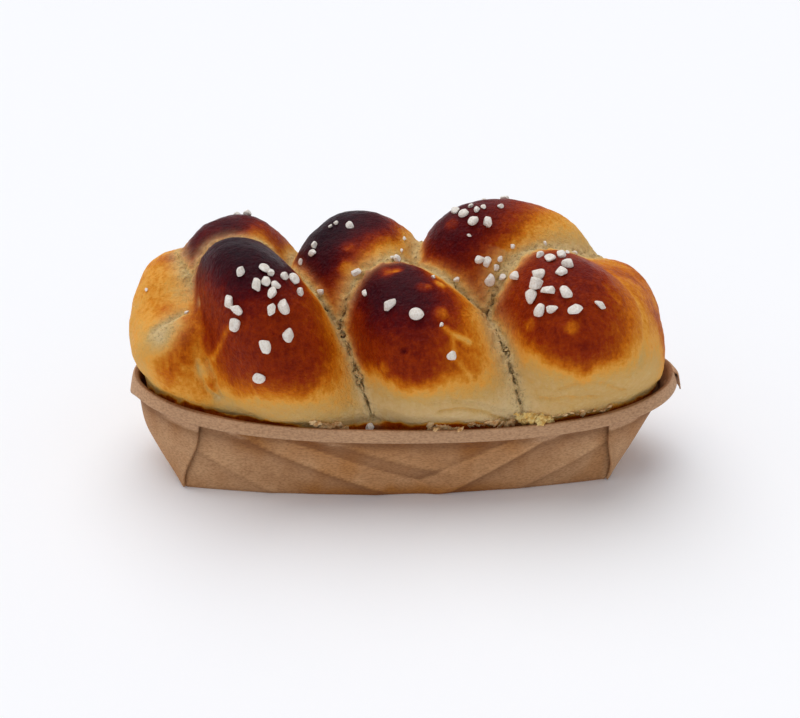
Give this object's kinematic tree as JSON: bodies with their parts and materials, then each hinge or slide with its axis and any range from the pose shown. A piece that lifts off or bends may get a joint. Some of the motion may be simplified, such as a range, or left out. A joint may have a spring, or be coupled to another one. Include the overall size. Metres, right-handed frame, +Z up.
{
  "type": "braided loaf",
  "caption": "Small braided brioche loaf with pearl sugar on its dark glazed crust, standing in an open folded kraft paper loaf mould with an oval rim.",
  "frame": {"origin": "middle of the paper mould's flat underside, on the surface that the loaf stands on", "axes": "+X along the loaf to its right end, -Y towards its front, +Z up"},
  "size_m": [0.1891, 0.0818, 0.0865],
  "materials": {
    "crust": "satin",
    "kraft_paper": "matte"
  },
  "bodies": {
    "root": {"loaf": "crust", "paper_case": "kraft_paper"}
  },
  "joints": []
}
